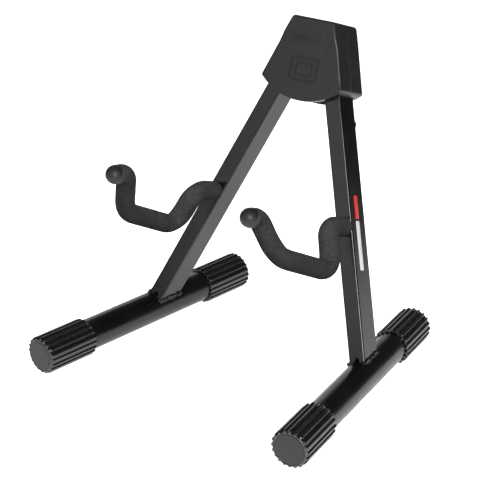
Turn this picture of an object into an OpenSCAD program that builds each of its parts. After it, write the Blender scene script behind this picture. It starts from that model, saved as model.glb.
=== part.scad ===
// Folding A-frame stand. Two legs hang from a hinge block, each with a foot tube and a padded yoke.
// Millimetres, +Z up, the yokes reach towards -Y. The origin is on the floor below the box centre.

/* [Stance] */
// Lean of the hinge block and legs back from upright, degrees
lean = 20.6; // [10:0.1:30]
// Splay of each leg out from the middle, degrees
splay = 20.6; // [12:0.1:28]
// Distance between the two foot tubes where the legs meet them
foot_spread = 307; // [240:1:380]
// Height of the pivots above the foot tubes, along the lean
pivot_rise = 362; // [300:1:420]

/* [Leg tubes] */
// Width of the leg tube seen from the front
leg_w = 20.8; // [15:0.1:30]
// Depth of the leg tube
leg_d = 32.8; // [20:0.1:40]
// Wall of the leg and foot tubes
tube_wall = 1.5; // [1:0.1:3]
// Outer corner radius of the leg tube
leg_corner = 2; // [1:0.1:4]

/* [Foot tubes and caps] */
// Outer diameter of the foot tubes
foot_d = 38; // [25:0.5:50]
// Outer diameter of the rubber caps over their ribs
cap_d = 46; // [40:0.5:60]
// Length of each rubber cap
cap_len = 70; // [40:1:90]
// Reach of the foot to the front of the leg
reach_front = 192; // [140:1:240]
// Reach of the foot to the rear of the leg
reach_rear = 144; // [100:1:200]
// Number of ribs round each cap
rib_count = 20; // [16:2:36]
// Width of one rib
rib_w = 3.4; // [1.5:0.1:4]
// Height of one rib
rib_h = 2.2; // [1:0.1:3]

/* [Yokes] */
// Height of the yoke above the foot tube, along the leg
yoke_rise = 170.4; // [120:0.1:220]
// Outer diameter of the foam sleeve
foam_d = 23; // [16:0.1:30]
// Outer diameter of the domed end cap
tip_d = 22; // [16:0.1:30]
// Diameter of the steel rod inside the foam
rod_d = 8; // [6:0.5:12]
// Straight length from the leg to the first bend
stub_len = 21; // [15:0.5:40]
// Angle of the drop below the stub, degrees
drop_angle = 87; // [70:1:110]
// Straight length of the drop
drop_len = 10.5; // [5:0.5:40]
// Rise of the seat towards the front, degrees
seat_angle = 8.5; // [0:0.5:20]
// Straight length of the seat
seat_len = 69; // [50:1:120]
// Rise of the front lip, degrees
lip_angle = 56; // [40:1:80]
// Straight length of the front lip of the right yoke
right_lip_len = 21.5; // [15:0.5:60]
// Straight length of the front lip of the left yoke
left_lip_len = 30.5; // [15:0.5:60]
// Turn of the rod from the right lip to its tip, degrees
right_tip_turn = 54.5; // [30:0.5:80]
// Turn of the rod from the left lip to its tip, degrees
left_tip_turn = 63.5; // [30:0.5:80]
// Straight length of the tip, up to the centre of its round end
tip_len = 8; // [6:0.5:30]
// Bend radius between the stub and the drop, on the centre line of the rod
drop_bend_r = 20; // [15:0.5:40]
// Bend radius between the drop and the seat
seat_bend_r = 21; // [15:0.5:40]
// Bend radius between the seat and the front lip
lip_bend_r = 43; // [15:0.5:60]
// Bend radius between the front lip and the tip
tip_bend_r = 18; // [15:0.5:40]

/* [Hinge block] */
// Height of the top of the block above the foot tubes, along the lean
block_top = 387; // [340:1:440]
// Height of the lower side corners of the block
block_low = 311; // [280:1:340]
// Height of the lowest point of the arched bottom edge
block_arch = 289.5; // [260:0.5:320]
// Height of the kink in the sides of the block
block_kink = 368; // [340:1:400]
// Half width of the block at its top
block_top_w = 29; // [20:0.5:40]
// Half width of the block at the kink
block_kink_w = 36.5; // [25:0.5:50]
// Half width of the block at its lower corners
block_low_w = 57; // [40:0.5:80]
// Distance from the leg middle to the front of the block
block_front = 26.5; // [22:0.5:34]
// Distance from the leg middle to the rear of the block
block_rear = 25.5; // [22:0.5:34]
// Distance of the joint between the two covers ahead of the leg middle
block_joint = 1; // [-5:0.5:5]
// Wall of the covers
cover_wall = 2.8; // [2:0.1:4]
// Rounding of the outer edges of the covers
cover_round = 4; // [1:0.5:5]

/* [Hinge parts] */
// Thickness of the two steel hinge plates
plate_t = 1.8; // [1:0.1:3]
// Diameter of the two pivot pins
pin_d = 8; // [6:0.5:12]
// Diameter of the two stop pins
stop_d = 4; // [3:0.5:6]
// Diameter of the cover screws
screw_d = 3.2; // [2.5:0.1:5]

/* [Release button] */
// Diameter of the button
button_d = 12; // [8:0.5:15]
// Distance the button stands out of the leg
button_out = 14; // [8:0.5:18]
// Travel of the button
button_travel = 4; // [2:0.5:6]
// Height of the button above the foot tube, along the leg
button_rise = 293; // [240:1:300]

/* [Hidden] */
eps = 0.01;
fit = 0.05;
gap = 0.3;
$fn = 48;
foot_r = foot_d / 2;
cap_r = cap_d / 2;
foam_r = foam_d / 2;
tip_r = tip_d / 2;
rod_r = rod_d / 2;
spread = foot_spread / 2;
axis_z = cap_r;
// Angle of the foot tube in the side plane of the leg, and its toe-out seen from above.
foot_pitch = atan(tan(lean) / cos(splay));
toe_out = atan(sin(foot_pitch) * sin(splay)
    / (cos(foot_pitch) * cos(lean) + sin(foot_pitch) * cos(splay) * sin(lean)));
pivot_x = spread - pivot_rise * tan(splay);
pivot_len = pivot_rise / cos(splay);
leg_end = 8;
front_y = -reach_front * cos(toe_out) - cap_r * sin(toe_out);
rear_y = block_top * sin(lean) + block_rear * cos(lean);
shift_y = -(front_y + rear_y) / 2;
// Stack of hinge parts on each side of a leg.
flange_t = 0.9;
flange_r = 9;
bush_r = pin_d / 2 + 1.5;
plate_in = leg_d / 2 + 0.1 + flange_t + 0.1;
plate_out = plate_in + plate_t;
head_t = 2.2;
stop_clear = 0.3;
stop_rise = 335;
screw_r = screw_d / 2;
post_r = 3.6;
post_in = 16;
head_r = 3.2;
sink = 3.5;
screw_top_x = 9;
screw_top_z = block_top - 7;
screw_mid_z = 342;
screw_low_z = 303;
screw_pos = [[-screw_top_x, screw_top_z], [screw_top_x, screw_top_z], [0, screw_mid_z], [0, screw_low_z]];
// Arc of the bottom edge: radius and centre height from its chord and its rise.
arch_rise = block_low - block_arch;
arch_r = (block_low_w * block_low_w + arch_rise * arch_rise) / (2 * arch_rise);
arch_z = block_arch + arch_r;
round_in = 0.94 * cover_round;
lip_gap = 0.8;
// Half depth of the slot in the bottom of the covers that the legs swing in.
slot_half = leg_d / 2 + 0.6;
lip_top = 313.5;
// Outer side of the open leg, with a gap, at a height in the block.
function lip_x(z) = spread - z * tan(splay) + leg_w / 2 / cos(splay) + lip_gap;
round_over = 12;
foot_z = block_arch - 10;
foot_w = block_low_w + (block_low - foot_z) * (block_low_w - block_kink_w) / (block_kink - block_low);
mark_w = 38;
mark_h = 28;
mark_in_w = 23;
mark_in_h = 16;
mark_r = 3;
mark_line = 2;
mark_rise = 0.9;
mark_z = 326.5;
dome_r = button_d / 2;
flange_w = 7.5;
notch_r = 3.4;
notch_z = (foot_r - leg_d / 2 * sin(foot_pitch)) / cos(foot_pitch) + 1.5;
bead_r = 3;
bead_half = 16;
spring_turns = 6;
spring_r = 5;
wire_r = 0.6;
cap_back = 4;
lap = 0.5;
hair = 0.03;
// Each step of a yoke rod: straight length, turn upwards in degrees, radius of the bend that follows.
function steps(lip, turn) = [
    [stub_len, -drop_angle, drop_bend_r],
    [drop_len, drop_angle + seat_angle, seat_bend_r],
    [seat_len, lip_angle - seat_angle, lip_bend_r],
    [lip, -turn, tip_bend_r],
    [tip_len, 0, 0]
];
left_steps = steps(left_lip_len, left_tip_turn);
right_steps = steps(right_lip_len, right_tip_turn);

// Frames. The block frame leans back about a line at the height of the foot tubes.
module block_frame() {
    translate([0, shift_y, axis_z])
        rotate([-lean, 0, 0])
            children();
}

module leg_frame() {
    block_frame()
        translate([spread, 0, 0])
            rotate([0, -splay, 0])
                children();
}

module foot_frame() {
    translate([spread, shift_y, axis_z])
        rotate([0, 0, toe_out])
            children();
}

module other_side() {
    mirror([1, 0, 0])
        children();
}

// A cylinder along -Y, from y0 towards the front.
module bar(r, l, y0 = 0) {
    translate([0, y0, 0])
        rotate([90, 0, 0])
            cylinder(r = r, h = l);
}

// Hinge block outline, looking along Y. The sides run on below the arched bottom edge that trims them.
module block_outline() {
    intersection() {
        side_shape(0, 0);
        translate([0, arch_z])
            circle(r = arch_r, $fn = 180);
    }
}

module side_shape(inset, top_inset) {
    polygon([
        [-block_top_w + inset, block_top - top_inset],
        [block_top_w - inset, block_top - top_inset],
        [block_kink_w - inset, block_kink],
        [foot_w - inset, foot_z],
        [-foot_w + inset, foot_z],
        [-block_kink_w + inset, block_kink]
    ]);
}

// Stands a flat outline up so that it spans from depth n0 to n1 ahead of the leg middle.
module slab(n0, n1) {
    translate([0, -n0, 0])
        rotate([90, 0, 0])
            linear_extrude(height = n1 - n0)
                children();
}

// Section of the cutters that round an edge at the origin. The arc meets both faces at a slight angle.
module round_section() {
    difference() {
        translate([-round_in, -round_in])
            square([round_in + 2, round_in + 2]);
        translate([-round_in, -round_in])
            circle(r = cover_round);
    }
}

// Cutter that rounds an edge running along +X; the solid lies towards -Y and -Z.
module edge_cutter(l) {
    rotate([90, 0, 90])
        linear_extrude(height = l)
            round_section();
}

// Rounds a straight edge from point a to point b of the outline, at the front or the rear face.
module outline_edge(a, b, face, dir) {
    run = norm(b - a);
    turn = atan2(b[1] - a[1], b[0] - a[0]);
    translate([a[0], -face, a[1]])
        rotate([0, -turn, 0])
            mirror([0, dir > 0 ? 1 : 0, 0])
                translate([-round_over, 0, 0])
                    edge_cutter(run + 2 * round_over);
}

module outline_edges(face, dir) {
    for (side = [0, 1])
        mirror([side, 0, 0]) {
            outline_edge([-foot_w, foot_z], [-block_kink_w, block_kink], face, dir);
            outline_edge([-block_kink_w, block_kink], [-block_top_w, block_top], face, dir);
        }
    outline_edge([-block_top_w, block_top], [block_top_w, block_top], face, dir);
}

module arch_edge(face, dir) {
    translate([0, -face, arch_z])
        mirror([0, dir > 0 ? 1 : 0, 0])
            rotate([-90, 0, 0])
                rotate_extrude($fn = 180)
                    translate([arch_r, 0])
                        round_section();
}

// Floor of the covers beside an open leg, out to the side wall.
module lower_lip() {
    polygon([
        [lip_x(lip_top), lip_top],
        [foot_w, lip_top],
        [foot_w, foot_z],
        [lip_x(foot_z), foot_z]
    ]);
}

// Room in the covers for the legs, open at the bottom but for the floors beside the open legs.
module leg_room() {
    difference() {
        side_shape(cover_wall, cover_wall);
        lower_lip();
        mirror([1, 0])
            lower_lip();
    }
}

// Room for the hinge plates, closed at the bottom by a floor as thick as the wall.
module plate_room() {
    intersection() {
        side_shape(cover_wall, cover_wall);
        translate([0, arch_z])
            circle(r = arch_r - cover_wall, $fn = 180);
    }
}

module cover_shell(n0, n1, face, dir) {
    difference() {
        slab(n0, n1)
            block_outline();
        slab(dir > 0 ? n0 - 1 : -slot_half, dir > 0 ? slot_half : n1 + 1)
            leg_room();
        slab(dir > 0 ? slot_half - fit : n0 + cover_wall, dir > 0 ? n1 - cover_wall : fit - slot_half)
            plate_room();
        outline_edges(face, dir);
        arch_edge(face, dir);
    }
}

// A plain rounded frame.
module mark_frame(w, h, r) {
    difference() {
        round_rect(w, h, r);
        round_rect(w - 2 * mark_line, h - 2 * mark_line, r - mark_line / 2);
    }
}

module front_cover() {
    color([0.27, 0.27, 0.28])
        block_frame() {
            cover_shell(block_joint, block_front, block_front, 1);
            slab(block_front - 1, block_front + mark_rise)
                translate([0, mark_z]) {
                    mark_frame(mark_w, mark_h, mark_r);
                    mark_frame(mark_in_w, mark_in_h, mark_r);
                }
            for (p = screw_pos)
                translate([p[0], 0, p[1]])
                    difference() {
                        bar(post_r, block_front - cover_wall - block_joint + 1, -block_joint);
                        bar(screw_r + fit, post_in - block_joint + 1, 1 - block_joint);
                    }
        }
}

module rear_cover() {
    inner_rear = block_rear - cover_wall;
    color([0.2, 0.2, 0.21])
        block_frame()
            difference() {
                union() {
                    cover_shell(-block_rear, block_joint, -block_rear, -1);
                    for (p = screw_pos)
                        translate([p[0], 0, p[1]])
                            bar(post_r, inner_rear + block_joint + 1, inner_rear + 1);
                }
                for (p = screw_pos)
                    translate([p[0], 0, p[1]]) {
                        bar(screw_r + gap, block_rear + block_joint + 2, block_rear + 1);
                        bar(head_r + gap, sink + 1, block_rear + 1);
                    }
            }
}

module cover_screws() {
    color([0.5, 0.5, 0.52])
        block_frame()
            for (p = screw_pos)
                translate([p[0], 0, p[1]])
                    difference() {
                        union() {
                            bar(head_r, head_t, block_rear - sink + head_t);
                            bar(screw_r, post_in + block_rear - sink - 1, block_rear - sink + eps);
                        }
                        translate([-head_r, block_rear - sink + head_t - 0.8, -0.4])
                            cube([2 * head_r, 1, 0.8]);
                    }
}

// Point on the block outline plane from the leg frame: x outward, z along the leg.
function leg_x(x, z) = spread - z * sin(splay) + x * cos(splay);
function leg_z(x, z) = z * cos(splay) + x * sin(splay);
stop_off = leg_w / 2 + stop_clear + stop_d / 2;
stop_x = leg_x(stop_off, stop_rise);
stop_z = leg_z(stop_off, stop_rise);

module plate_outline() {
    side = cover_wall + 1.2;
    difference() {
        polygon([
            [-block_top_w + side + 1, block_top - side],
            [block_top_w - side - 1, block_top - side],
            [block_kink_w - side, block_kink],
            [block_low_w - side - 2.2, block_low + 3],
            [12, block_arch + 5],
            [-12, block_arch + 5],
            [-block_low_w + side + 2.2, block_low + 3],
            [-block_kink_w + side, block_kink]
        ]);
        for (p = screw_pos)
            translate(p)
                circle(r = post_r + gap);
        for (side = [-1, 1]) {
            translate([side * pivot_x, pivot_rise])
                circle(r = pin_d / 2 + fit);
            translate([side * stop_x, stop_z])
                circle(r = stop_d / 2 - 0.5 + fit);
        }
    }
}

module front_hinge_plate() {
    color([0.55, 0.56, 0.58])
        block_frame()
            slab(plate_in, plate_out)
                plate_outline();
}

module rear_hinge_plate() {
    color([0.55, 0.56, 0.58])
        block_frame()
            slab(-plate_out, -plate_in)
                plate_outline();
}

// Pin along Y with a low head outside each hinge plate.
module pivot_pin() {
    block_frame()
        translate([pivot_x, 0, pivot_rise]) {
            bar(pin_d / 2, 2 * plate_out + 2 * eps, plate_out + eps);
            bar(pin_d / 2 + 2, head_t - 0.1, -plate_out - 0.1);
            bar(pin_d / 2 + 2, head_t - 0.1, plate_out + head_t);
            bar(pin_d / 2, 0.2, -plate_out);
            bar(pin_d / 2, 0.2, plate_out + 0.2);
        }
}

module left_pivot_pin() {
    color([0.7, 0.7, 0.72])
        other_side()
            pivot_pin();
}

module right_pivot_pin() {
    color([0.7, 0.7, 0.72])
        pivot_pin();
}

// Stop pin: the leg rests on it when it is open. Its thin ends sit in the hinge plates.
module stop_pin() {
    block_frame()
        translate([stop_x, 0, stop_z]) {
            bar(stop_d / 2, 2 * plate_in - 2 * fit, plate_in - fit);
            bar(stop_d / 2 - 0.5, 2 * plate_out, plate_out);
        }
}

module left_stop_pin() {
    color([0.7, 0.7, 0.72])
        other_side()
            stop_pin();
}

module right_stop_pin() {
    color([0.7, 0.7, 0.72])
        stop_pin();
}

// Two flanged bushes, one in each wall of the leg.
module pivot_bushes() {
    leg_frame()
        translate([0, 0, pivot_len])
            for (side = [0, 1])
                mirror([0, side, 0])
                    difference() {
                        union() {
                            bar(bush_r, 5, -leg_d / 2 + 4.9);
                            bar(flange_r, flange_t, -leg_d / 2 - 0.1);
                        }
                        bar(pin_d / 2 + fit, 10, -leg_d / 2 + 6);
                    }
}

module left_pivot_bushes() {
    color([0.85, 0.85, 0.82])
        other_side()
            pivot_bushes();
}

module right_pivot_bushes() {
    color([0.85, 0.85, 0.82])
        pivot_bushes();
}

module round_rect(w, d, r) {
    square([w, d - 2 * r], center = true);
    square([w - 2 * r, d], center = true);
    for (x = [-1, 1], y = [-1, 1])
        translate([x * (w / 2 - r), y * (d / 2 - r)])
            circle(r = r);
}

module leg_tube(with_button) {
    leg_frame()
        difference() {
            linear_extrude(height = pivot_len + leg_end)
                difference() {
                    round_rect(leg_w, leg_d, leg_corner);
                    round_rect(leg_w - 2 * tube_wall, leg_d - 2 * tube_wall, 0.8);
                }
            rotate([foot_pitch, 0, 0])
                translate([0, 2 * leg_d, 0])
                    bar(foot_r + fit, 4 * leg_d);
            translate([0, 0, pivot_len])
                bar(bush_r + fit, leg_d + 4, leg_d / 2 + 2);
            translate([0, 0, yoke_rise])
                bar(rod_r + fit, tube_wall + 2, -leg_d / 2 + tube_wall + 1);
            translate([0, 0, notch_z])
                bar(notch_r, tube_wall + 2, -leg_d / 2 + tube_wall + 1);
            if (with_button)
                translate([0, 0, button_rise])
                    bar(dome_r + gap, tube_wall + 2, leg_d / 2 + 1);
        }
}

module left_leg_tube() {
    color([0.15, 0.15, 0.16])
        other_side()
            leg_tube(false);
}

module right_leg_tube() {
    color([0.15, 0.15, 0.16])
        leg_tube(true);
}

module foot_tube() {
    end_gap = 5;
    foot_frame()
        difference() {
            bar(foot_r, reach_front + reach_rear - 2 * end_gap, reach_rear - end_gap);
            bar(foot_r - tube_wall, reach_front + reach_rear, reach_rear);
        }
}

module left_foot_tube() {
    color([0.1, 0.1, 0.11])
        other_side()
            foot_tube();
}

module right_foot_tube() {
    color([0.1, 0.1, 0.11])
        foot_tube();
}

// A weld bead along each side of the leg, lying on the foot tube.
module weld_beads() {
    bead_x = leg_w / 2 + 1;
    bead_z = sqrt(foot_r * foot_r - leg_w * leg_w / 4) + 0.8;
    leg_frame()
        difference() {
            rotate([foot_pitch, 0, 0])
                for (x = [-bead_x, bead_x])
                    translate([x, 0, bead_z]) {
                        bar(bead_r, 2 * bead_half, bead_half);
                        translate([0, bead_half, 0])
                            sphere(r = bead_r);
                        translate([0, -bead_half, 0])
                            sphere(r = bead_r);
                    }
            translate([-leg_w / 2 - fit, -leg_d, -foot_r])
                cube([leg_w + 2 * fit, 2 * leg_d, 4 * foot_r]);
            rotate([foot_pitch, 0, 0])
                bar(foot_r + fit, 4 * leg_d, 2 * leg_d);
        }
}

module left_weld_beads() {
    color([0.12, 0.12, 0.13])
        other_side()
            weld_beads();
}

module right_weld_beads() {
    color([0.12, 0.12, 0.13])
        weld_beads();
}

// Ribbed rubber cap, closed at the front, open towards +Y.
module foot_cap() {
    core_r = cap_r - rib_h;
    floor_t = 4.5;
    difference() {
        rotate([90, 0, 0])
            linear_extrude(height = cap_len)
                union() {
                    circle(r = core_r, $fn = 96);
                    for (k = [0:rib_count - 1])
                        rotate(-90 + k * 360 / rib_count)
                            translate([core_r - 1, -rib_w / 2])
                                square([rib_h + 1, rib_w]);
                }
        bar(foot_r + fit, cap_len - floor_t + 1, 1);
    }
}

module front_foot_cap() {
    foot_frame()
        translate([0, -reach_front + cap_len, 0])
            foot_cap();
}

module rear_foot_cap() {
    foot_frame()
        translate([0, reach_rear - cap_len, 0])
            mirror([0, 1, 0])
                foot_cap();
}

module left_front_foot_cap() {
    color([0.08, 0.08, 0.08])
        other_side()
            front_foot_cap();
}

module left_rear_foot_cap() {
    color([0.08, 0.08, 0.08])
        other_side()
            rear_foot_cap();
}

module right_front_foot_cap() {
    color([0.08, 0.08, 0.08])
        front_foot_cap();
}

module right_rear_foot_cap() {
    color([0.08, 0.08, 0.08])
        rear_foot_cap();
}

// Bent rod or sleeve, step by step: a straight length towards -Y, then a bend up or down.
module bend_up(turn, bend_r, r) {
    translate([0, 0, bend_r])
        rotate([0, 90, 180])
            rotate_extrude(angle = turn)
                translate([bend_r, 0])
                    circle(r = r);
}

module bend(turn, bend_r, r) {
    if (turn > 0)
        bend_up(turn, bend_r, r);
    if (turn < 0)
        mirror([0, 0, 1])
            bend_up(-turn, bend_r, r);
}

module past_bend(turn, bend_r) {
    translate([0, -bend_r * sin(abs(turn)), sign(turn) * bend_r * (1 - cos(turn))])
        rotate([-turn, 0, 0])
            children();
}

// lead is how far the run starts behind the leg face, tail is the length of its straight tip.
// The straights run a little way into the bends, which are a hair thicker, so that they fuse.
module bent_run(run, r, lead, tail, i = 0) {
    last = len(run) - 1;
    start = i == 0 ? lead : lap;
    if (i < last) {
        bar(r, run[i][0] + start + lap, start);
        translate([0, -run[i][0], 0]) {
            bend(run[i][1], run[i][2], r + hair);
            past_bend(run[i][1], run[i][2])
                bent_run(run, r, lead, tail, i + 1);
        }
    }
    if (i == last)
        bar(r, tail + lap, lap);
}

// Places a child at the start of the straight tip.
module at_tip(run, i = 0) {
    if (i < len(run) - 1)
        translate([0, -run[i][0], 0])
            past_bend(run[i][1], run[i][2])
                at_tip(run, i + 1)
                    children();
    else
        children();
}

module yoke_start() {
    leg_frame()
        translate([0, -leg_d / 2, yoke_rise])
            children();
}

module yoke_rod(run) {
    yoke_start()
        bent_run(run, rod_r, leg_d - tube_wall - 1, tip_len + 3);
}

module left_yoke_rod() {
    color([0.6, 0.6, 0.62])
        other_side()
            yoke_rod(left_steps);
}

module right_yoke_rod() {
    color([0.6, 0.6, 0.62])
        yoke_rod(right_steps);
}

module yoke_foam(run) {
    yoke_start()
        difference() {
            bent_run(run, foam_r, -gap, tip_len - cap_back);
            bent_run(run, rod_r + fit, 1, tip_len);
        }
}

module left_yoke_foam() {
    color([0.24, 0.24, 0.24])
        other_side()
            yoke_foam(left_steps);
}

module right_yoke_foam() {
    color([0.24, 0.24, 0.24])
        yoke_foam(right_steps);
}

module yoke_cap(run) {
    yoke_start()
        at_tip(run)
            difference() {
                union() {
                    bar(tip_r, cap_back - fit, -tip_len + cap_back - fit);
                    translate([0, -tip_len, 0])
                        sphere(r = tip_r);
                }
                translate([-tip_r - 1, -tip_len + cap_back - fit, -tip_r - 1])
                    cube([2 * tip_r + 2, 2 * tip_r, 2 * tip_r + 2]);
                bar(rod_r + fit, tip_len + 3.5);
            }
}

module left_yoke_cap() {
    color([0.12, 0.12, 0.12])
        other_side()
            yoke_cap(left_steps);
}

module right_yoke_cap() {
    color([0.12, 0.12, 0.12])
        yoke_cap(right_steps);
}

// Sprung button in the rear wall of the right leg, with an inner flange that keeps it in.
module release_button() {
    inner = leg_d / 2 - tube_wall;
    color([0.07, 0.07, 0.07])
        leg_frame()
            translate([0, 0, button_rise]) {
                bar(dome_r, button_out - dome_r + tube_wall + 1, leg_d / 2 + button_out - dome_r);
                translate([0, leg_d / 2 + button_out - dome_r, 0])
                    sphere(r = dome_r);
                bar(flange_w, 2, inner - gap);
                bar(3, 2 * inner - 2 - gap - button_travel - 2, inner - gap - 1);
            }
}

// The return spring, drawn as closed coils joined by short risers.
module button_spring() {
    inner = leg_d / 2 - tube_wall;
    pitch = (2 * inner - gap - 2 - 2 * wire_r - 2 * fit) / spring_turns;
    color([0.75, 0.75, 0.77])
        leg_frame()
            translate([0, inner - gap - 2 - wire_r - fit, button_rise])
                rotate([90, 0, 0]) {
                    for (k = [0:spring_turns])
                        translate([0, 0, k * pitch])
                            rotate_extrude()
                                translate([spring_r, 0])
                                    circle(r = wire_r);
                    for (k = [0:spring_turns - 1])
                        translate([spring_r * cos(180 * k), 0, k * pitch])
                            cylinder(r = 0.8 * wire_r, h = pitch);
                }
}

front_cover();
rear_cover();
cover_screws();
front_hinge_plate();
rear_hinge_plate();
left_pivot_pin();
right_pivot_pin();
left_stop_pin();
right_stop_pin();
left_pivot_bushes();
right_pivot_bushes();
left_leg_tube();
right_leg_tube();
left_foot_tube();
right_foot_tube();
left_weld_beads();
right_weld_beads();
left_front_foot_cap();
left_rear_foot_cap();
right_front_foot_cap();
right_rear_foot_cap();
left_yoke_rod();
right_yoke_rod();
left_yoke_foam();
right_yoke_foam();
left_yoke_cap();
right_yoke_cap();
release_button();
button_spring();
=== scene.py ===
"""Folding A-frame stand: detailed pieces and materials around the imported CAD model."""
import math
import random

import bmesh
import bpy
from mathutils import Matrix, Vector, noise


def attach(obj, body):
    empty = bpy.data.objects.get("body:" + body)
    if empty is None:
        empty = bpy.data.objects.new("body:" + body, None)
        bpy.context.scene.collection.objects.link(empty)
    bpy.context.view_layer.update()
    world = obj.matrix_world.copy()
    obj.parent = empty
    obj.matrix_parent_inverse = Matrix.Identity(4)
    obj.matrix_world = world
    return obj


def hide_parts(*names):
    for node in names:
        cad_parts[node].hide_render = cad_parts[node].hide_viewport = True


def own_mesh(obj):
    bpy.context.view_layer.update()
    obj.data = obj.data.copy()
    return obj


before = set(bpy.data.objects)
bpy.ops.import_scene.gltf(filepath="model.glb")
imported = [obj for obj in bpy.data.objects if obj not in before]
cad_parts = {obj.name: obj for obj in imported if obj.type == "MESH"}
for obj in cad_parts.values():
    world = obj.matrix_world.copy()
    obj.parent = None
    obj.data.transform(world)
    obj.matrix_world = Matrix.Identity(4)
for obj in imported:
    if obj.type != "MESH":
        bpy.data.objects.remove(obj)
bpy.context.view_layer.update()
MM = 0.001

# ---------------------------- frames of the part
LEAN = math.radians(20.6)
SPLAY = math.radians(20.6)
SPREAD = 153.5
AXIS_Z = 23.0
LEG_W, LEG_D, LEG_CORNER = 20.8, 32.8, 2.0
TUBE_WALL = 1.5
FOOT_R, CAP_R, FOAM_R, TIP_R, ROD_R = 19.0, 23.0, 11.5, 11.0, 4.0
CAP_LEN = 70.0
REACH_FRONT, REACH_REAR = 192.0, 144.0
YOKE_RISE = 170.4
PITCH = math.atan(math.tan(LEAN) / math.cos(SPLAY))
TOE = math.atan(math.sin(PITCH) * math.sin(SPLAY)
                / (math.cos(PITCH) * math.cos(LEAN)
                   + math.sin(PITCH) * math.cos(SPLAY) * math.sin(LEAN)))
BLOCK_TOP, BLOCK_KINK, BLOCK_LOW, BLOCK_ARCH = 387.0, 368.0, 311.0, 289.5
TOP_W, KINK_W, LOW_W = 29.0, 36.5, 57.0
BLOCK_REAR, BLOCK_FRONT, BLOCK_JOINT = 25.5, 26.5, 1.0
WALL = 2.8
SLOT = LEG_D / 2 + 0.6
FRONT_Y = -REACH_FRONT * math.cos(TOE) - CAP_R * math.sin(TOE)
REAR_Y = BLOCK_TOP * math.sin(LEAN) + BLOCK_REAR * math.cos(LEAN)
SHIFT_Y = -(FRONT_Y + REAR_Y) / 2
ARCH_RISE = BLOCK_LOW - BLOCK_ARCH
ARCH_R = (LOW_W * LOW_W + ARCH_RISE * ARCH_RISE) / (2 * ARCH_RISE)
ARCH_Z = BLOCK_ARCH + ARCH_R
SIDE_SLOPE = (LOW_W - KINK_W) / (BLOCK_KINK - BLOCK_LOW)
BUTTON_RISE, BUTTON_OUT, BUTTON_R = 293.0, 14.0, 6.0
BUTTON_TRAVEL, STEM_ROOM, STEM_R = 4.0, 7.0, 3.0
FLANGE_R, FLANGE_LOW = 7.5, 2.3
SCREWS = ((-9.0, BLOCK_TOP - 7), (9.0, BLOCK_TOP - 7), (0.0, 342.0), (0.0, 303.0))
SCREW_SEAT = -BLOCK_REAR + 3.5


def rot(axis, angle):
    return Matrix.Rotation(angle, 4, axis)


def move(x, y, z):
    return Matrix.Translation(Vector((x, y, z)))


BLOCK = move(0, SHIFT_Y, AXIS_Z) @ rot("X", -LEAN)
LEG = BLOCK @ move(SPREAD, 0, 0) @ rot("Y", -SPLAY)
FOOT = move(SPREAD, SHIFT_Y, AXIS_Z) @ rot("Z", TOE)
FLIP = Matrix.Scale(-1, 4, Vector((1, 0, 0)))
SIDES = (("right", Matrix.Identity(4)), ("left", FLIP))
TO_M = Matrix.Scale(MM, 4)


def noise3(p, size, seed=0.0):
    """Smooth noise from -1 to 1 at a point in millimetres."""
    return noise.noise(Vector(p) / size + Vector((seed, 1.7 * seed, -seed)))


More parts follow.
